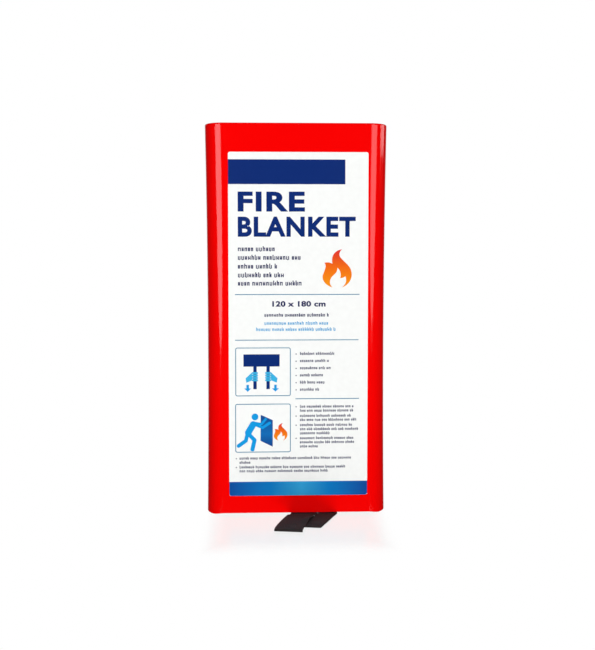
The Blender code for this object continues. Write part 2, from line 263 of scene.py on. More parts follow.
def printed_ink():
    """Ink on coated paper: its density varies a little, and it is a little less glossy where it is thick."""
    group = Group(
        "printed_ink",
        [("Color", "NodeSocketColor", (0.5, 0.5, 0.5, 1.0)), ("Gloss", "NodeSocketFloat", 0.32)],
        [("Color", "NodeSocketColor"), ("Roughness", "NodeSocketFloat")],
    )
    place = group.node("ShaderNodeTexCoord")
    grain = group.node("ShaderNodeTexNoise", scale=260.0, detail=4.0)
    group.join(place.outputs["Object"], grain.inputs["Vector"])
    density = group.node("ShaderNodeMapRange")
    density.inputs["To Min"].default_value = 0.96
    density.inputs["To Max"].default_value = 1.04
    group.join(grain.outputs["Fac"], density.inputs["Value"])
    shade = group.node("ShaderNodeVectorMath", operation="SCALE")
    group.join(group.start.outputs["Color"], shade.inputs[0])
    group.join(density.outputs["Result"], shade.inputs["Scale"])
    group.join(shade.outputs["Vector"], group.end.inputs["Color"])
    gloss = group.node("ShaderNodeMath", operation="MULTIPLY")
    group.join(group.start.outputs["Gloss"], gloss.inputs[0])
    group.join(density.outputs["Result"], gloss.inputs[1])
    group.join(gloss.outputs["Value"], group.end.inputs["Roughness"])
    return group.tree


def plain_weave():
    """Threads over and under each other, on the cloth's own flat layout in metres."""
    group = Group(
        "plain_weave",
        [("Threads per Metre", "NodeSocketFloat", 1000.0), ("Slub", "NodeSocketFloat", 0.2)],
        [("Height", "NodeSocketFloat"), ("Shade", "NodeSocketFloat")],
    )
    flat = group.node("ShaderNodeUVMap", uv_map="flat")
    count = group.node("ShaderNodeVectorMath", operation="SCALE")
    group.join(flat.outputs["UV"], count.inputs[0])
    group.join(group.start.outputs["Threads per Metre"], count.inputs["Scale"])
    drift = group.node("ShaderNodeTexNoise", scale=18.0, detail=2.0)
    group.join(flat.outputs["UV"], drift.inputs["Vector"])
    strayed = group.node("ShaderNodeVectorMath", operation="MULTIPLY_ADD")
    group.join(drift.outputs["Color"], strayed.inputs[0])
    group.join(group.start.outputs["Slub"], strayed.inputs[1])
    group.join(count.outputs["Vector"], strayed.inputs[2])
    split = group.node("ShaderNodeSeparateXYZ")
    group.join(strayed.outputs["Vector"], split.inputs["Vector"])
    waves = []
    for axis in ("X", "Y"):
        turn = group.node("ShaderNodeMath", operation="MULTIPLY")
        turn.inputs[1].default_value = math.pi
        wave = group.node("ShaderNodeMath", operation="SINE")
        group.join(split.outputs[axis], turn.inputs[0])
        group.join(turn.outputs["Value"], wave.inputs[0])
        waves.append(wave)
    both = group.node("ShaderNodeMath", operation="MULTIPLY")
    group.join(waves[0].outputs["Value"], both.inputs[0])
    group.join(waves[1].outputs["Value"], both.inputs[1])
    height = group.node("ShaderNodeMath", operation="ABSOLUTE")
    group.join(both.outputs["Value"], height.inputs[0])
    group.join(height.outputs["Value"], group.end.inputs["Height"])
    shade = group.node("ShaderNodeMapRange")
    shade.inputs["To Min"].default_value = 0.72
    shade.inputs["To Max"].default_value = 1.1
    group.join(height.outputs["Value"], shade.inputs["Value"])
    group.join(shade.outputs["Result"], group.end.inputs["Shade"])
    return group.tree


MOULDED = moulded_surface()
INK = printed_ink()
WEAVE = plain_weave()


def material(name):
    """A new material, its node tree and its shader."""
    made = bpy.data.materials.new(name)
    made.use_nodes = True
    return made, made.node_tree, made.node_tree.nodes["Principled BSDF"]


def grouped(tree, group, **values):
    """A node that uses a shared group, with values for its named inputs."""
    made = tree.nodes.new("ShaderNodeGroup")
    made.node_tree = group
    for key, value in values.items():
        made.inputs[key.replace("_", " ")].default_value = value
    return made


def shaded_color(tree, color, factor):
    """A colour made lighter or darker by a factor."""
    shade = new_node(tree, "ShaderNodeVectorMath", operation="SCALE")
    shade.inputs[0].default_value = color
    tree.links.new(factor, shade.inputs["Scale"])
    return shade.outputs["Vector"]


def bumped(tree, shader, height, distance, strength):
    bump = new_node(tree, "ShaderNodeBump")
    bump.inputs["Distance"].default_value = distance
    bump.inputs["Strength"].default_value = strength
    tree.links.new(height, bump.inputs["Height"])
    tree.links.new(bump.outputs["Normal"], shader.inputs["Normal"])


def red_plastic():
    made, tree, shader = material("red_plastic")
    face = grouped(tree, MOULDED, Ripple_Scale=650.0, Gloss=0.09)
    tree.links.new(shaded_color(tree, (0.93, 0.0, 0.0), face.outputs["Tone"]), shader.inputs["Base Color"])
    tree.links.new(face.outputs["Roughness"], shader.inputs["Roughness"])
    shader.inputs["IOR"].default_value = 1.49
    bumped(tree, shader, face.outputs["Height"], 0.00003, 0.22)
    return made


def label_paper():
    made, tree, shader = material("label_paper")
    face = grouped(tree, INK, Color=(0.93, 0.94, 0.925, 1.0), Gloss=0.34)
    tree.links.new(face.outputs["Color"], shader.inputs["Base Color"])
    tree.links.new(face.outputs["Roughness"], shader.inputs["Roughness"])
    return made


def srgb(red, green, blue):
    """A colour given as the 0 to 255 values of a paint chart, as the renderer takes it."""
    levels = [value / 255 for value in (red, green, blue)]
    return tuple(x / 12.92 if x <= 0.04045 else ((x + 0.055) / 1.055) ** 2.4 for x in levels)


def ink(name, color):
    """Flat ink of one colour."""
    made, tree, shader = material(name)
    shader.inputs["Specular IOR Level"].default_value = 0.2
    face = grouped(tree, INK, Color=(*color, 1.0), Gloss=0.3)
    tree.links.new(face.outputs["Color"], shader.inputs["Base Color"])
    tree.links.new(face.outputs["Roughness"], shader.inputs["Roughness"])
    return made


def blended_ink(name, axis, stops):
    """Ink that runs through several colours along one axis of its shape: stops are (share, colour)."""
    made, tree, shader = material(name)
    place = new_node(tree, "ShaderNodeTexCoord")
    split = new_node(tree, "ShaderNodeSeparateXYZ")
    ramp = new_node(tree, "ShaderNodeValToRGB")
    elements = ramp.color_ramp.elements
    while len(elements) < len(stops):
        elements.new(0.5)
    for element, (share, color) in zip(elements, stops):
        element.position = share
        element.color = (*color, 1.0)
    shader.inputs["Specular IOR Level"].default_value = 0.2
    face = grouped(tree, INK, Gloss=0.3)
    tree.links.new(place.outputs["Generated"], split.inputs["Vector"])
    tree.links.new(split.outputs[axis], ramp.inputs["Fac"])
    tree.links.new(ramp.outputs["Color"], face.inputs["Color"])
    tree.links.new(face.outputs["Color"], shader.inputs["Base Color"])
    tree.links.new(face.outputs["Roughness"], shader.inputs["Roughness"])
    return made


def glass_cloth():
    made, tree, shader = material("glass_cloth")
    weave = grouped(tree, WEAVE, Threads_per_Metre=1400.0, Slub=0.5)
    cloth = shaded_color(tree, (0.80, 0.79, 0.74), weave.outputs["Shade"])
    tree.links.new(cloth, shader.inputs["Base Color"])
    shader.inputs["Roughness"].default_value = 0.62
    bumped(tree, shader, weave.outputs["Height"], 0.0001, 0.5)
    return made


def black_webbing():
    made, tree, shader = material("black_webbing")
    weave = grouped(tree, WEAVE, Threads_per_Metre=1150.0, Slub=0.25)
    black = shaded_color(tree, (0.020, 0.0145, 0.0145), weave.outputs["Shade"])
    tree.links.new(black, shader.inputs["Base Color"])
    shader.inputs["Roughness"].default_value = 0.78
    bumped(tree, shader, weave.outputs["Height"], 0.00022, 0.8)
    return made


def black_thread():
    made, tree, shader = material("black_thread")
    place = new_node(tree, "ShaderNodeTexCoord")
    twist = new_node(tree, "ShaderNodeTexNoise", scale=2600.0, detail=2.0)
    tree.links.new(place.outputs["Object"], twist.inputs["Vector"])
    black = shaded_color(tree, (0.050, 0.045, 0.045), twist.outputs["Fac"])
    tree.links.new(black, shader.inputs["Base Color"])
    shader.inputs["Roughness"].default_value = 0.55
    return made


# ---------------------------------------------------------------- case


def half_width(z):
    """Half the case's outside width at a height."""
    rise = (z - MOUTH) / HEIGHT
    return TOP_HALF_WIDTH - SIDE_DRAFT * (1 - rise) - SIDE_BOW * 4 * rise * (1 - rise)


def smooth_step(share):
    share = min(max(share, 0.0), 1.0)
    return share * share * (3 - 2 * share)


def spaced(start, stop, steps):
    return [start + (stop - start) * step / steps for step in range(steps + 1)]


def wall_stations(arc_steps=18, front_steps=20):
    """Round the three walls from the right rear edge to the left one: (wall, side, where on it)."""
    right = [("side", 1, y) for y in spaced(0.0, FRONT + CORNER_RADIUS, 4)[:-1]]
    right += [("corner", 1, turn) for turn in spaced(0.0, math.pi / 2, arc_steps)]
    front = [("front", 1, share) for share in spaced(1.0, -1.0, front_steps)[1:-1]]
    left = [(wall, -1, value) for wall, _, value in reversed(right)]
    return right + front + left


def wall_point(station, z, inset):
    wall, side, value = station
    half = half_width(z)
    if wall == "side":
        return Vector((side * (half - inset), value, z))
    if wall == "front":
        return Vector((value * (half - CORNER_RADIUS), FRONT + inset, z))
    reach = CORNER_RADIUS - inset
    x = half - CORNER_RADIUS + reach * math.cos(value)
    return Vector((side * x, FRONT + CORNER_RADIUS - reach * math.sin(value), z))


def lip_relief(station):
    """How far the mouth's rim is above the surface that the case stands on."""
    wall, _, value = station
    if wall == "side":
        return 0.0
    if wall == "front":
        return LIP_RELIEF
    return LIP_RELIEF * smooth_step(value / (math.pi / 4) - 1)


def wall_profile(low):
    """(height, inset) from the edge of the top, down the outside, round the rim and up the inside."""
    quarter = spaced(0.0, math.pi / 2, 5)
    over = [(TOP - TOP_ROUND * (1 - math.cos(a)), TOP_ROUND * (1 - math.sin(a))) for a in quarter]
    outside = [(z, 0.0) for z in spaced(TOP - TOP_ROUND, low + RIM_ROUND, 60)[1:]]
    rim = [(low + RIM_ROUND * (1 - math.sin(a)), RIM_ROUND * (1 - math.cos(a))) for a in quarter[1:]]
    rim += [(low + RIM_ROUND * (1 - math.cos(a)), WALL - RIM_ROUND * (1 - math.sin(a))) for a in quarter]
    ceiling = TOP - WALL
    inside = [(z, WALL) for z in spaced(low + RIM_ROUND, ceiling - INNER_ROUND, 24)[1:]]
    under = [
        (ceiling - INNER_ROUND * (1 - math.sin(a)), WALL + INNER_ROUND * (1 - math.cos(a)))
        for a in quarter[1:]
    ]
    return over + outside + rim + inside + under


def close_across(bm, row):
    """A flat face that closes a row of points from its one end to the other."""
    bm.faces.new(row)


def front_shell(finish):
    """Front, sides and top in one moulding, open at the back and at the mouth."""
    stations = wall_stations()
    profiles = [wall_profile(MOUTH + lip_relief(station)) for station in stations]

    def place(column, row):
        return wall_point(stations[column], *profiles[column][row])

    bm, verts = surface(len(stations), len(profiles[0]), place)
    close_across(bm, verts[0])
    close_across(bm, verts[-1])
    open_edges = [edge for edge in bm.edges if len(edge.link_faces) == 1]
    bmesh.ops.contextual_create(bm, geom=open_edges)
    shell = from_bmesh("case_front_shell", bm, finish)
    combine(shell, [lug_block(side, z, FIT) for side in (-1, 1) for z in LUG_HEIGHTS], "DIFFERENCE")
    even_shading(shell)
    return settle(shell)


def lug_block(side, z, margin):
    """A snap lug on the back plate's flange, or with a margin the groove that it sits in."""
    thick, deep, tall = LUG_SIZE
    out = half_width(z) - WALL - FIT + LUG_OUT + margin
    near = out - thick - margin
    xs = sorted((side * near, side * out))
    ys = (-FLANGE_DEPTH / 2 - deep / 2 - margin, -FLANGE_DEPTH / 2 + deep / 2 + margin)
    zs = (z - tall / 2 - margin, z + tall / 2 + margin)
    return block("lug", (xs[0], ys[0], zs[0]), (xs[1], ys[1], zs[1]))


def upright_slab(name, inset, bottom, top, back, front, finish=None):
    """A slab whose sides follow the case's sides, inset from them."""
    heights = spaced(bottom, top, 30)

    def side_point(c, r):
        return ((2 * c - 1) * (half_width(heights[r]) - inset), back, heights[r])

    bm = surface(2, len(heights), side_point)[0]
    made = bmesh.ops.extrude_face_region(bm, geom=bm.faces)
    moved = [item for item in made["geom"] if isinstance(item, bmesh.types.BMVert)]
    bmesh.ops.translate(bm, vec=(0, front - back, 0), verts=moved)
    return from_bmesh(name, bm, finish, smooth=False)


def back_plate(finish):
    """The shallow tray that screws to the wall, with two keyholes and the lugs that hold the shell."""
    inset = WALL + FIT
    top = TOP - inset
    plate = upright_slab("case_back_plate", inset, MOUTH, top, 0.0, -FLANGE_DEPTH, finish)
    past = 0.001
    hollow = upright_slab(
        "hollow", inset + FLANGE_WALL, MOUTH - past, top - FLANGE_WALL, -PLATE, -FLANGE_DEPTH - past
    )
    cutters = [hollow]
    for side in (-1, 1):
        x, y, length = side * KEYHOLE_X, -PLATE / 2, PLATE + 2 * past
        end = KEYHOLE_Z + KEYHOLE_RISE
        cutters.append(rod("head", (x, y, KEYHOLE_Z), KEYHOLE_HEAD, length))
        cutters.append(rod("neck_end", (x, y, end), KEYHOLE_NECK, length))
        low = (x - KEYHOLE_NECK, y - length / 2, KEYHOLE_Z)
        cutters.append(block("neck", low, (x + KEYHOLE_NECK, y + length / 2, end)))
    combine(plate, cutters, "DIFFERENCE")
    combine(plate, [lug_block(side, z, 0.0) for side in (-1, 1) for z in LUG_HEIGHTS], "UNION")
    ease_edges(plate, 0.0003)
    for face in plate.data.polygons:
        face.use_smooth = True
    even_shading(plate)
    return settle(plate)


# ---------------------------------------------------------------- label


def print_place(u, v, ahead):
    """A point of the print: millimetres right and down, and metres in front of the paper."""
    right, down = (u - PRINT_RIGHT) * MM, (v - PRINT_DOWN) * MM
    return (LABEL_LOW.x + right, LABEL_LOW.y - ahead, LABEL_HIGH.z - down)


class Print:
    """Flat shapes in one ink on the label."""

    def __init__(self, name, finish, layer=1):
        self.name, self.finish = name, finish
        self.ahead = layer * 0.00004
        self.bm = bmesh.new()

    def point(self, u, v):
        """A point of the next shape, which lies a touch in front of the last one."""
        return self.bm.verts.new(print_place(u, v, self.ahead + len(self.bm.faces) % 8 * 0.000003))

    def fill(self, outline):
        self.bm.faces.new([self.point(u, v) for u, v in outline])

    def bar(self, u, v, width, height):
        self.fill([(u, v), (u + width, v), (u + width, v + height), (u, v + height)])

    def disc(self, u, v, radius):
        turns = [2 * math.pi * step / 32 for step in range(32)]
        self.fill([(u + radius * math.cos(a), v + radius * math.sin(a)) for a in turns])

    def limb(self, path, width):
        """A stroke with round ends through several points."""
        for start, stop in zip(path, path[1:]):
            near, far = Vector(start), Vector(stop)
            along = far - near
            across = Vector((-along.y, along.x)).normalized() * width / 2
            self.fill([tuple(end) for end in (near + across, far + across, far - across, near - across)])
        for u, v in path:
            self.disc(u, v, width / 2)

    def frame(self, u, v, width, height, line=0.6, corner=1.6):
        """The outline of a box with rounded corners."""
        outer = rounded_box(u, v, width, height, corner)
        inner = rounded_box(u + line, v + line, width - 2 * line, height - 2 * line, corner - line)
        outer = [self.point(*p) for p in outer]
        inner = [self.point(*p) for p in inner]
        for a, b in zip(range(-1, len(outer) - 1), range(len(outer))):
            self.bm.faces.new([outer[a], outer[b], inner[b], inner[a]])

    def done(self):
        self.bm.normal_update()
        for face in self.bm.faces:
            if face.normal.y > 0:
                face.normal_flip()
        mesh = bpy.data.meshes.new(self.name)
        self.bm.to_mesh(mesh)
        self.bm.free()
        return add(self.name, mesh, self.finish)


def rounded_box(u, v, width, height, corner):
    """Points round a box with rounded corners."""
    middles = [
        (u + width - corner, v + corner, -math.pi / 2),
        (u + width - corner, v + height - corner, 0.0),
        (u + corner, v + height - corner, math.pi / 2),
        (u + corner, v + corner, math.pi),
    ]
    points = []
    for cu, cv, start in middles:
        for turn in spaced(start, start + math.pi / 2, 6):
            points.append((cu + corner * math.cos(turn), cv + corner * math.sin(turn)))
    return points


def curve_round(knots):
    """A closed outline through (corner, pull away from it, pull towards the next) in turn."""
    outline = []
    for (start, out, into), (stop, _, _) in zip(knots, knots[1:] + knots[:1]):
        points = interpolate_bezier(*(Vector((*p, 0)) for p in (start, out, into, stop)), 12)
        outline += [(point.x, point.y) for point in points[:-1]]
    return outline


# A plain flame, 1 wide and 1.3 high: each corner, and the two pulls on the curve that leaves it
FLAME = [
    ((0.66, 0.00), (0.44, 0.02), (0.26, 0.20)),
    ((0.33, 0.49), (0.24, 0.44), (0.15, 0.43)),
    ((0.05, 0.46), (0.15, 0.55), (0.06, 0.71)),
    ((0.00, 0.89), (-0.04, 1.07), (0.12, 1.24)),
    ((0.33, 1.30), (0.19, 1.16), (0.24, 0.98)),
    ((0.38, 0.87), (0.46, 0.80), (0.51, 0.72)),
    ((0.50, 0.63), (0.62, 0.71), (0.63, 0.87)),
    ((0.60, 0.98), (0.67, 0.98), (0.73, 0.96)),
    ((0.77, 0.91), (0.84, 1.07), (0.78, 1.20)),
    ((0.66, 1.30), (0.91, 1.21), (1.05, 0.97)),
    ((0.97, 0.72), (0.92, 0.54), (0.71, 0.41)),
    ((0.60, 0.27), (0.54, 0.19), (0.56, 0.08)),
]


def flame(name, finish, u, v, width):
    shape = Print(name, finish)
    shape.fill([(u + x * width, v + y * width) for x, y in curve_round(FLAME)])
    return shape.done()


def filler_text(ink_print, chance, u, stop, baseline, size):
    """Unreadable small print: strokes in groups as long as words, from u to stop."""
    stem = size * 0.2
    while u < stop - size * 0.5:
        for _ in range(chance.randint(3, 9)):
            wide = size * chance.uniform(0.42, 0.6)
            if u + wide > stop:
                break
            body = size * 0.72
            tall = size if chance.random() < 0.25 else body
            ink_print.bar(u, baseline - tall, stem, tall)
            ink_print.bar(u + wide - stem, baseline - body, stem, body)
            level = chance.choice((0.0, 0.45, 0.85))
            ink_print.bar(u + stem, baseline - body + level * body, wide - 2 * stem, stem)
            u += wide + size * 0.17
        u += size * 0.4


def plain_words(name, words, finish, u, baseline, width, height, weight=0.0, spacing=1.0):
    """Plain lettering, as wide and as high as asked, standing on its baseline."""
    curve = bpy.data.curves.new(name, "FONT")
    curve.body = words
    curve.offset = weight
    curve.space_character = spacing
    curve.resolution_u = 6
    drawn = add_curve(name, curve)
    mesh = bpy.data.meshes.new_from_object(drawn.evaluated_get(bpy.context.evaluated_depsgraph_get()))
    bpy.data.objects.remove(drawn, do_unlink=True)
    xs = [vert.co.x for vert in mesh.vertices]
    ys = [vert.co.y for vert in mesh.vertices]
    wide, high = (max(xs) - min(xs)) / MM, (max(ys) - min(ys)) / MM
    for vert in mesh.vertices:
        across = (vert.co.x - min(xs)) / MM / wide * width
        up = (vert.co.y - min(ys)) / MM / high * height
        vert.co = print_place(u + across, baseline - up, 0.00004)
    mesh.materials.clear()
    return add(name, mesh, finish)


def add_curve(name, curve):
    made = bpy.data.objects.new(name, curve)
    bpy.context.scene.collection.objects.link(made)
    bpy.context.view_layer.update()
    return made


def label_sheet(finish):
    sheet = Print("label_sheet", finish, layer=0)
    sheet.fill(rounded_box(PRINT_RIGHT, PRINT_DOWN, LABEL_WIDE, LABEL_TALL, 1.5))
    piece = sheet.done()
    depth = piece.modifiers.new("depth", "SOLIDIFY")
    depth.thickness = LABEL_HIGH.y - LABEL_LOW.y
    depth.offset = -1
    return settle(piece)


def label_small_print(navy, cyan):
    """The lines of small print, as filler."""
    chance = random.Random(7)
    dark = Print("label_small_print", navy)
    for stop, baseline in ((37.4, 75.9), (55.5, 82.4), (39.0, 89.1), (44.7, 95.7), (57.8, 102.0)):
        filler_text(dark, chance, 7.8, stop, baseline, 3.7)
    filler_text(dark, chance, 27.8, 77.8, 125.8, 2.7)
    for step, stop in enumerate((81.3, 77.2, 79.1, 72.4, 75.0, 70.9)):
        v = 155.2 + 5.52 * step
        dark.disc(51.9, v - 0.7, 0.45)
        filler_text(dark, chance, 54.9, stop, v, 2.3)
    lines = (
        (195.9, 96.9, True),
        (199.1, 96.9, False),
        (203.1, 94.3, True),
        (206.2, 99.5, False),
        (210.2, 96.0, True),
        (213.4, 100.8, False),
        (216.6, 77.8, False),
        (220.4, 97.1, True),
        (223.6, 97.5, False),
        (226.8, 69.2, False),
    )
    for v, stop, first in lines:
        if first:
            dark.disc(51.9, v - 0.7, 0.45)
        filler_text(dark, chance, 54.9, stop, v, 2.15)
    last_lines = ((235.8, 96.4, True), (239.1, 17.8, False), (242.7, 90.8, True), (245.8, 76.5, False))
    for v, stop, first in last_lines:
        if first:
            dark.disc(6.0, v - 0.7, 0.45)
        filler_text(dark, chance, 8.5, stop, v, 2.15)
    light = Print("label_light_print", cyan)
    filler_text(light, chance, 27.8, 77.6, 132.0, 2.6)
    filler_text(light, chance, 21.5, 83.2, 136.7, 2.6)
    return [dark.done(), light.done()]


def label_lines(teal):
    lines = Print("label_lines", teal)
    lines.bar(5.5, 108.6, 94.8, 0.6)
    lines.bar(5.5, 143.4, 94.2, 0.6)
    lines.bar(51.4, 188.7, 48.8, 0.6)
    lines.frame(5.5, 149.4, 42.3, 37.4)
    lines.frame(5.3, 192.7, 42.5, 37.7)
    return lines.done()


def pull_picture(navy, cyan, blue):
    """How to use it, first step: two hands pull the two straps down."""
    case = Print("picture_case_and_straps", navy)
    case.bar(11.7, 154.6, 27.6, 9.4)
    for u in (19.2, 29.2):
        case.bar(u, 164.0, 2.6, 17.4)
    hands = Print("picture_hands", cyan, layer=2)
    arrows = Print("picture_arrows", blue)
    for middle, side in ((20.5, -1), (30.5, 1)):
        for finger in range(4):
            v = 168.2 + finger * 1.85
            hands.fill(rounded_box(middle - 2.3, v, 4.6, 1.55, 0.7))
        wrist = middle + side * 2.2
        elbow = middle + side * 7.2
        hands.fill([(wrist, 168.4), (wrist, 174.6), (elbow - side * 0.6, 176.4), (elbow, 173.0)])
        u = middle + side * 5.6
        arrows.bar(u - 0.95, 178.0, 1.9, 2.8)
        arrows.fill([(u - 2.6, 180.8), (u + 2.6, 180.8), (u, 183.4)])
    return [case.done(), hands.done(), arrows.done()]


def cover_picture(blue, cloth_ink):
    """How to use it, second step: a person holds the blanket up before the fire and lays it over."""
    cloth = Print("picture_blanket", cloth_ink)
    cloth.fill([(24.8, 201.2), (34.0, 205.4), (34.0, 226.0), (24.6, 221.4)])
    person = Print("picture_person", blue, layer=2)
    person.disc(20.4, 202.8, 2.6)
    person.limb([(19.0, 208.6), (15.2, 215.0)], 5.0)
    person.limb([(20.0, 208.6), (26.2, 211.2), (31.6, 207.6)], 2.1)
    person.limb([(20.6, 207.6), (25.4, 208.4), (28.6, 204.6)], 1.9)
    person.limb([(14.4, 216.6), (13.4, 221.2), (7.8, 225.2)], 2.9)
    person.limb([(16.0, 216.6), (20.0, 220.8), (18.4, 228.0)], 3.1)
    return [cloth.done(), person.done()]


def printed_label():
    """The label and everything printed on it."""
    navy = ink("navy_ink", srgb(10, 42, 112))
    dark = ink("dark_ink", srgb(22, 30, 84))
    teal = ink("teal_ink", srgb(48, 124, 160))
    cyan = ink("cyan_ink", srgb(60, 176, 224))
    pale = ink("pale_ink", srgb(50, 160, 214))
    blue = ink("blue_ink", srgb(20, 152, 222))
    fire_stops = [(0.0, srgb(244, 150, 20)), (0.55, srgb(238, 104, 20)), (1.0, srgb(216, 30, 40))]
    fire = blended_ink("fire_ink", "Z", fire_stops)
    band_stops = [
        (0.0, srgb(14, 74, 152)),
        (0.3, srgb(10, 118, 190)),
        (0.52, srgb(52, 164, 220)),
        (0.72, srgb(10, 118, 190)),
        (1.0, srgb(18, 70, 148)),
    ]
    band = blended_ink("band_ink", "X", band_stops)
    cloth_stops = [(0.0, srgb(22, 62, 134)), (0.4, srgb(20, 106, 178)), (1.0, srgb(24, 70, 140))]
    cloth = blended_ink("blanket_ink", "Z", cloth_stops)
    bands = Print("label_top_band", navy)
    bands.bar(PRINT_RIGHT, 6.8, 88.6, 18.6)
    low_band = Print("label_low_band", band)
    left, right, foot = PRINT_RIGHT, PRINT_RIGHT + LABEL_WIDE, PRINT_DOWN + LABEL_TALL
    low_band.bar(left, foot - 11.0, LABEL_WIDE, 9.7)
    slant_top, slant_foot, slant_in = foot - 1.3, foot - 0.05, 1.1
    low_band.fill(
        [(left, slant_top), (right, slant_top), (right - slant_in, slant_foot), (left + slant_in, slant_foot)]
    )
    print_pieces = [
        bands.done(),
        low_band.done(),
        plain_words("label_title_fire", "FIRE", navy, 7.8, 46.0, 50.8, 15.0, 0.037, 1.12),
        plain_words("label_title_blanket", "BLANKET", navy, 7.8, 65.0, 89.4, 15.2, 0.037, 1.11),
        plain_words("label_size", "120 x 180 cm", dark, 33.8, 118.2, 40.6, 4.3, 0.04, 1.06),
        flame("label_flame", fire, 72.2, 74.6, 22.3),
        flame("picture_flame", fire, 34.9, 207.8, 10.4),
        label_lines(teal),
    ]
    print_pieces += label_small_print(dark, pale)
    print_pieces += pull_picture(navy, cyan, blue)
    print_pieces += cover_picture(blue, cloth)
    for piece in print_pieces:
        finish_as(piece, "case", "label_print")
    finish_as(label_sheet(label_paper()), "case", "label_print", "front_label")


# ---------------------------------------------------------------- straps

STRAP_WIDTH = 0.0205
STRAP_THICK = 0.0009
LIFTED = 0.007
CROSSING_RISE = 0.0013
GATHERED_OVER = 0.0012
SEWN_LENGTH, SEWN_APART = 0.030, 0.001
UNDER_LIP = 0.0008
HEM_GAP, HEM_SPREAD, HEM_TUCK = 0.00012, 0.12, 0.0006
FRAY = 0.00012
TAPE_EDGE = 0.00022
ROOT_BOX, END_BOX = 0.011, 0.008
CURL, CURL_FROM, CURL_TO = 0.0015, 0.009, 0.026
END_SLANT = 0.14
Lay = namedtuple("Lay", "name mouth_x drift turn reach hem")
LEFT = Lay("left", 0.0060, 0.0132, 1.25, FRONT - LEFT_LOW.y, 0.0075)
RIGHT = Lay("right", 0.02115, 0.0146, 1, FRONT - RIGHT_LOW.y, 0.0)
LYING = MOUTH + STRAP_THICK / 2


def strap_span(lay, forward):
    """Left and right edge of a strap at a distance forward of the front face."""
    middle = lay.mouth_x - lay.drift * (1 - (1 - forward / lay.reach) ** lay.turn)
    left, right = middle - STRAP_WIDTH / 2, middle + STRAP_WIDTH / 2
    if lay is RIGHT:
        beside = strap_span(LEFT, forward)[1] + FIT
        gathered = 1 - smooth_step((forward - LIFTED) / GATHERED_OVER)
        left = left + max(beside - left, 0.0) * gathered
    return left, right


def strap_rise(lay, forward):
    """How high a strap is above the surface that it lies on."""
    if lay is RIGHT:
        return 0.0
    return CROSSING_RISE * smooth_step(2 * forward / LIFTED - 1)


def ease(start, stop, share):
    return start + (stop - start) * smooth_step(share)


def strap_line(lay):
    """The strap from its sewn upper end, down behind the wall, under the lip and out: (y, z, left, right)."""
    sewn_x = LEFT.mouth_x + (STRAP_WIDTH + SEWN_APART if lay is RIGHT else 0.0)
    sewn = (sewn_x - STRAP_WIDTH / 2, sewn_x + STRAP_WIDTH / 2)
    mouth = strap_span(lay, 0.0)
    plane = PACK_LOW.y - FIT - STRAP_THICK / 2 - 0.00005
    bend = plane - (FRONT + WALL)
    start, low = LEFT_ROOT_HIGH.z, LYING + bend
    line = []
    for z in spaced(start, low, 24)[:-1]:
        share = (start - z - SEWN_LENGTH) / (start - low - SEWN_LENGTH)
        line.append((plane, z, ease(sewn[0], mouth[0], share), ease(sewn[1], mouth[1], share)))
    for turn in spaced(0.0, math.pi / 2, 8):
        y = plane - bend * (1 - math.cos(turn))
        line.append((y, LYING + bend * (1 - math.sin(turn)), *mouth))
    line.append((FRONT + UNDER_LIP, LYING, *mouth))
    for forward in spaced(0.0, lay.reach, 44):
        line.append((FRONT - forward, LYING + strap_rise(lay, forward), *strap_span(lay, forward)))
    return line


def folded_back(line, hem):
    """The end turned under itself and back by the hem's length."""
    y_end, z_end, left, right = line[-1]
    under = z_end - STRAP_THICK - HEM_GAP
    middle_z, half = (z_end + under) / 2, (z_end - under) / 2
    turned = []
    for turn in spaced(0.0, math.pi, 6)[1:]:
        turned.append((y_end - half * math.sin(turn), middle_z + half * math.cos(turn), left, right))
    for back in spaced(0.0, hem, 6)[1:]:
        turned.append((y_end + back, under, left + back * HEM_SPREAD, right + back * HEM_SPREAD))
    return turned


def strap(lay, finish):
    """One strap in one length of woven tape."""
    line = strap_line(lay)
    if lay.hem:
        line = line[:-1] + [(line[-1][0] + HEM_TUCK, *line[-1][1:])]
        line += folded_back(line, lay.hem)
    columns = 13
    lengths = [0.0]
    for (y0, z0, *_), (y1, z1, *_) in zip(line, line[1:]):
        lengths.append(lengths[-1] + math.hypot(y1 - y0, z1 - z0))
    chance = random.Random(3 if lay is LEFT else 5)
    fray = [chance.uniform(-FRAY, FRAY) for _ in line]

    def place(column, row):
        y, z, left, right = line[row]
        across = column / (columns - 1)
        x = left + (right - left) * across + fray[row] * (2 * across - 1)
        slant = END_SLANT * smooth_step((FRONT - y) / lay.reach) * (x - (left + right) / 2)
        return Vector((x, y - slant, z + lifted_edge(lay, FRONT - y, across)))

    def layout(column, row):
        return (STRAP_WIDTH * column / (columns - 1), lengths[row])

    bm, _ = surface(columns, len(line), place, layout)
    made = from_bmesh(f"{lay.name}_pull_strap", bm, finish)
    depth = made.modifiers.new("depth", "SOLIDIFY")
    depth.thickness = STRAP_THICK
    depth.offset = 0
    depth.use_even_offset = False
    ease_edges(made, TAPE_EDGE, segments=2, angle=60)
    return settle(made)


def lifted_edge(lay, forward, across):
    """The left strap's right edge stands up a little where it comes off the right strap."""
    if lay is RIGHT or not CURL_FROM < forward < CURL_TO:
        return 0.0
    along = math.sin(math.pi * (forward - CURL_FROM) / (CURL_TO - CURL_FROM)) ** 2
    return CURL * along * smooth_step((across - 0.55) / 0.45)


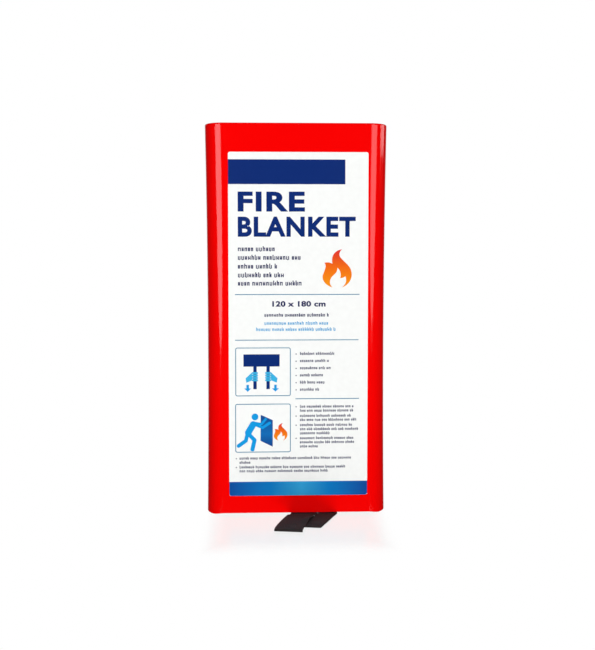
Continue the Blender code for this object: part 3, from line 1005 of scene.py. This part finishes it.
def stitch_row(bm, start, stop, normal, length=0.0014, gap=0.0004, thick=0.00034):
    """A row of stitches: each one a short bead of thread that dips into the tape at its ends."""
    start, stop, normal = Vector(start), Vector(stop), Vector(normal)
    along = stop - start
    count = max(1, round(along.length / (length + gap)))
    turn = Matrix((along.normalized(), normal.cross(along).normalized(), normal)).transposed().to_4x4()
    for step in range(count):
        middle = start + along * ((step + 0.5) / count)
        size = Matrix.Diagonal((length / 2, thick / 2, thick / 2, 1.0))
        bmesh.ops.create_uvsphere(
            bm, u_segments=8, v_segments=6, radius=1.0, matrix=Matrix.Translation(middle) @ turn @ size
        )


def box_stitching(name, centre, right, up, size, finish):
    """A sewn box with a cross in it."""
    right, up, centre = Vector(right), Vector(up), Vector(centre)
    normal = right.cross(up)
    corners = [centre + (right * x + up * y) * size / 2 for x, y in ((-1, -1), (1, -1), (1, 1), (-1, 1))]
    bm = bmesh.new()
    for a, b in ((0, 1), (1, 2), (2, 3), (3, 0), (0, 2), (1, 3)):
        stitch_row(bm, corners[a], corners[b], normal)
    return from_bmesh(name, bm, finish)


def middle_of(node):
    low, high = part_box(node)
    return (low + high) / 2


def straps():
    webbing, thread = black_webbing(), black_thread()
    for lay in (LEFT, RIGHT):
        side = lay.name
        piece = strap(lay, webbing)
        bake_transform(piece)
        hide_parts(f"{side}_strap", f"{side}_strap_root")
        strap_length(lay)
        root = middle_of(f"{side}_root_stitching")
        sewn = box_stitching(f"{side}_sewn_stitching", root, (1, 0, 0), (0, 0, 1), ROOT_BOX, thread)
        finish_as(sewn, "folded_blanket", "stitch_thread", f"{side}_root_stitching")
        end = middle_of(f"{side}_end_stitching")
        end.z = MOUTH + STRAP_THICK + strap_rise(lay, FRONT - end.y)
        sewn = box_stitching(f"{side}_end_box_stitching", end, (1, 0, 0), (0, 1, 0), END_BOX, thread)
        finish_as(sewn, f"{side}_pull", "stitch_thread", f"{side}_end_stitching")


def strap_length(lay):
    line = strap_line(lay)
    return sum(math.hypot(b[0] - a[0], b[1] - a[1]) for a, b in zip(line, line[1:])) + lay.hem


# ---------------------------------------------------------------- blanket

SHEET_WIDTH, SHEET_LENGTH = 1.2, 1.8
CLOTH_THICK = 0.0003
PANELS_ACROSS, PANELS_ALONG = 10, 7
STACK_PRESSED, STACK_GAP = 0.99, 0.0005
STRAY_ACROSS, STRAY_LEAN = 0.0007, 0.0005
EDGE_WAVE = 0.0004


def fold_path(panels, straight, pitch, panel_points, turn_points):
    """A line folded to and fro: each point (along, across), its direction and its length so far."""
    radius = pitch / 2
    points = []
    length = 0.0
    for panel in range(panels):
        way = 1 if panel % 2 == 0 else -1
        for along in spaced(-way * straight / 2, way * straight / 2, panel_points):
            points.append((along, panel * pitch, (way, 0.0), length + abs(along + way * straight / 2)))
        length += straight
        if panel == panels - 1:
            break
        for turn in spaced(0.0, math.pi, turn_points)[1:-1]:
            along = way * (straight / 2 + radius * math.sin(turn))
            across = panel * pitch + radius * (1 - math.cos(turn))
            points.append((along, across, (way * math.cos(turn), math.sin(turn)), length + radius * turn))
        length += math.pi * radius
    return points


def blanket(finish):
    """The whole cloth, folded into ten panels across and then into seven along."""
    low, high = PACK_LOW, PACK_HIGH
    depth = high.y - low.y
    stack_pitch = depth / PANELS_ALONG * STACK_PRESSED
    layer_pitch = (stack_pitch - STACK_GAP) / PANELS_ACROSS
    layer_turn = math.pi * layer_pitch / 2
    wide = (SHEET_WIDTH - (PANELS_ACROSS - 1) * layer_turn) / PANELS_ACROSS
    stack = layer_pitch * (PANELS_ACROSS - 1)
    straight = high.z - low.z - stack_pitch - stack - CLOTH_THICK
    first = fold_path(PANELS_ACROSS, wide, layer_pitch, 4, 5)
    second = fold_path(PANELS_ALONG, straight, stack_pitch, 18, 9)
    chance = random.Random(11)
    stray = [
        (chance.uniform(-STRAY_ACROSS, STRAY_ACROSS), chance.uniform(-STRAY_LEAN, STRAY_LEAN))
        for _ in range(PANELS_ACROSS)
    ]
    sway = [(chance.uniform(2, 5), chance.uniform(0, 6.28)) for _ in range(PANELS_ALONG)]
    middle_x, middle_z = (low.x + high.x) / 2, (low.z + high.z) / 2
    first_y = high.y - (depth - stack_pitch * (PANELS_ALONG - 1)) / 2

    def place(column, row):
        x, offset, _, _ = first[column]
        z, across, (way_z, way_y), _ = second[row]
        layer = min(int(offset / layer_pitch + 0.5), PANELS_ACROSS - 1)
        panel = min(int(across / stack_pitch + 0.5), PANELS_ALONG - 1)
        shift, lean = stray[layer]
        beat, phase = sway[panel]
        x += shift + lean * math.sin(z * 25 + layer) + EDGE_WAVE * math.sin(z * beat * 20 + phase)
        out = offset - stack / 2
        y = first_y - across - out * way_z
        return Vector((middle_x + x, y, middle_z + z + out * way_y))

    def layout(column, row):
        return (first[column][3], second[row][3])

    bm, _ = surface(len(first), len(second), place, layout)
    cloth = from_bmesh("folded_glass_cloth", bm, finish)
    thick = cloth.modifiers.new("thickness", "SOLIDIFY")
    thick.thickness = CLOTH_THICK
    thick.offset = 0
    settle(cloth)
    finish_as(cloth, "folded_blanket", "blanket_cloth", "blanket")


# ---------------------------------------------------------------- stage


def world_light():
    """White behind the object and dimmer in front of it, and plain white to look at."""
    world = bpy.data.worlds.new("studio")
    bpy.context.scene.world = world
    world.use_nodes = True
    tree = world.node_tree
    tree.nodes.clear()
    end = new_node(tree, "ShaderNodeOutputWorld")
    seen = new_node(tree, "ShaderNodeBackground")
    seen.inputs["Color"].default_value = (1, 1, 1, 1)
    room = new_node(tree, "ShaderNodeBackground")
    both = new_node(tree, "ShaderNodeMixShader")
    path = new_node(tree, "ShaderNodeLightPath")
    way = new_node(tree, "ShaderNodeTexCoord")
    split = new_node(tree, "ShaderNodeSeparateXYZ")
    level = new_node(tree, "ShaderNodeMapRange")
    level.inputs["From Min"].default_value = 0.75
    level.inputs["From Max"].default_value = 0.92
    level.inputs["To Min"].default_value = 0.03
    level.inputs["To Max"].default_value = 1.0
    tree.links.new(way.outputs["Generated"], split.inputs["Vector"])
    tree.links.new(split.outputs["Y"], level.inputs["Value"])
    tree.links.new(level.outputs["Result"], room.inputs["Strength"])
    tree.links.new(path.outputs["Is Camera Ray"], both.inputs["Fac"])
    tree.links.new(room.outputs["Background"], both.inputs[1])
    tree.links.new(seen.outputs["Background"], both.inputs[2])
    tree.links.new(both.outputs["Shader"], end.inputs["Surface"])


def softbox(name, place, aim, width, height, power, shape="RECTANGLE"):
    """A lamp that faces a point."""
    lamp = bpy.data.lights.new(name, "AREA")
    lamp.shape = shape
    lamp.size, lamp.size_y = width, height
    lamp.energy = power
    made = bpy.data.objects.new(name, lamp)
    bpy.context.scene.collection.objects.link(made)
    made.location = place
    made.rotation_euler = (Vector(aim) - Vector(place)).to_track_quat("-Z", "Y").to_euler()
    return made


FLOOR_RADIUS, FLOOR_BELOW = 0.3, 0.0002
MIRROR_SHARE, MIRROR_FADES_FROM, MIRROR_FADES_TO = 0.16, 0.075, 0.105


def glossy_floor():
    """A disc that only mirrors a little, so that what hangs below it stays in sight. Its mirror is tinted
    pink, a painted reflection of the red case.
    """
    bm = bmesh.new()
    bmesh.ops.create_circle(bm, cap_ends=True, segments=96, radius=FLOOR_RADIUS)
    floor = from_bmesh("floor", bm)
    floor.location = (0, FRONT / 2, MOUTH - FLOOR_BELOW)
    made = bpy.data.materials.new("gloss_with_painted_pink_reflection")
    made.use_nodes = True
    tree = made.node_tree
    tree.nodes.clear()
    end = new_node(tree, "ShaderNodeOutputMaterial")
    clear = new_node(tree, "ShaderNodeBsdfTransparent")
    mirror = new_node(tree, "ShaderNodeBsdfGlossy")
    # painted reflection: the mirror is tinted pink, so the floor shows a pink reflection of the red case
    # whatever it mirrors
    mirror.inputs["Color"].default_value = (1, 0.84, 0.80, 1)
    mirror.inputs["Roughness"].default_value = 0.28
    both = new_node(tree, "ShaderNodeMixShader")
    place = new_node(tree, "ShaderNodeTexCoord")
    size = new_node(tree, "ShaderNodeVectorMath", operation="ABSOLUTE")
    split = new_node(tree, "ShaderNodeSeparateXYZ")
    away = new_node(tree, "ShaderNodeMath", operation="MAXIMUM")
    share = new_node(tree, "ShaderNodeMapRange")
    share.interpolation_type = "SMOOTHSTEP"
    share.inputs["From Min"].default_value = MIRROR_FADES_FROM
    share.inputs["From Max"].default_value = MIRROR_FADES_TO
    share.inputs["To Min"].default_value = MIRROR_SHARE
    share.inputs["To Max"].default_value = 0.0
    shape = new_node(tree, "ShaderNodeVectorMath", operation="MULTIPLY")
    shape.inputs[1].default_value = (1.45, 1.0, 0.0)
    tree.links.new(place.outputs["Object"], shape.inputs[0])
    tree.links.new(shape.outputs["Vector"], size.inputs[0])
    tree.links.new(size.outputs["Vector"], split.inputs["Vector"])
    tree.links.new(split.outputs["X"], away.inputs[0])
    tree.links.new(split.outputs["Y"], away.inputs[1])
    tree.links.new(away.outputs["Value"], share.inputs["Value"])
    tree.links.new(share.outputs["Result"], both.inputs["Fac"])
    tree.links.new(clear.outputs["BSDF"], both.inputs[1])
    tree.links.new(mirror.outputs["BSDF"], both.inputs[2])
    tree.links.new(both.outputs["Shader"], end.inputs["Surface"])
    floor.data.materials.append(made)


def camera():
    lens = bpy.data.cameras.new("camera")
    lens.sensor_width = 36
    lens.lens = 45.2
    lens.shift_y = -0.068
    made = bpy.data.objects.new("camera", lens)
    bpy.context.scene.collection.objects.link(made)
    made.location = (-0.0206, -0.6647, 0.0645)
    made.rotation_euler = (math.radians(90 - 3.12), 0, math.radians(-1.97))
    bpy.context.scene.camera = made


def studio():
    world_light()
    aim = (0, FRONT, 0)
    fills = [
        softbox("above", (-0.1, -1.15, 1.15), aim, 1.2, 0.7, 9.6),
        softbox("below", (0, -0.95, -0.80), aim, 1.3, 0.5, 7.8),
    ]
    for lamp in fills:
        lamp.visible_glossy = False
    softbox("left", (-0.641, -0.978, 0.21), (-0.058, FRONT, 0.1), 0.68, 0.78, 4.9, "ELLIPSE")
    softbox("right", (0.657, -0.968, 0.255), (0.058, FRONT, 0.1), 0.70, 0.78, 3.7, "ELLIPSE")
    softbox("side", (1.155, 0.041, 0.42), (0.058, FRONT, 0.1), 0.67, 0.40, 2.6)
    glossy_floor()
    camera()
    bpy.context.scene.view_settings.view_transform = "Standard"


# ---------------------------------------------------------------- the object


def finish_as(piece, body, slot, *nodes):
    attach(piece, body)
    if nodes:
        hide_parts(*nodes)


def build_case():
    red = red_plastic()
    finish_as(front_shell(red), "case", "case_plastic", "front_shell")
    finish_as(back_plate(red), "case", "case_plastic", "back_plate")


build_case()
printed_label()
straps()
blanket(glass_cloth())
studio()
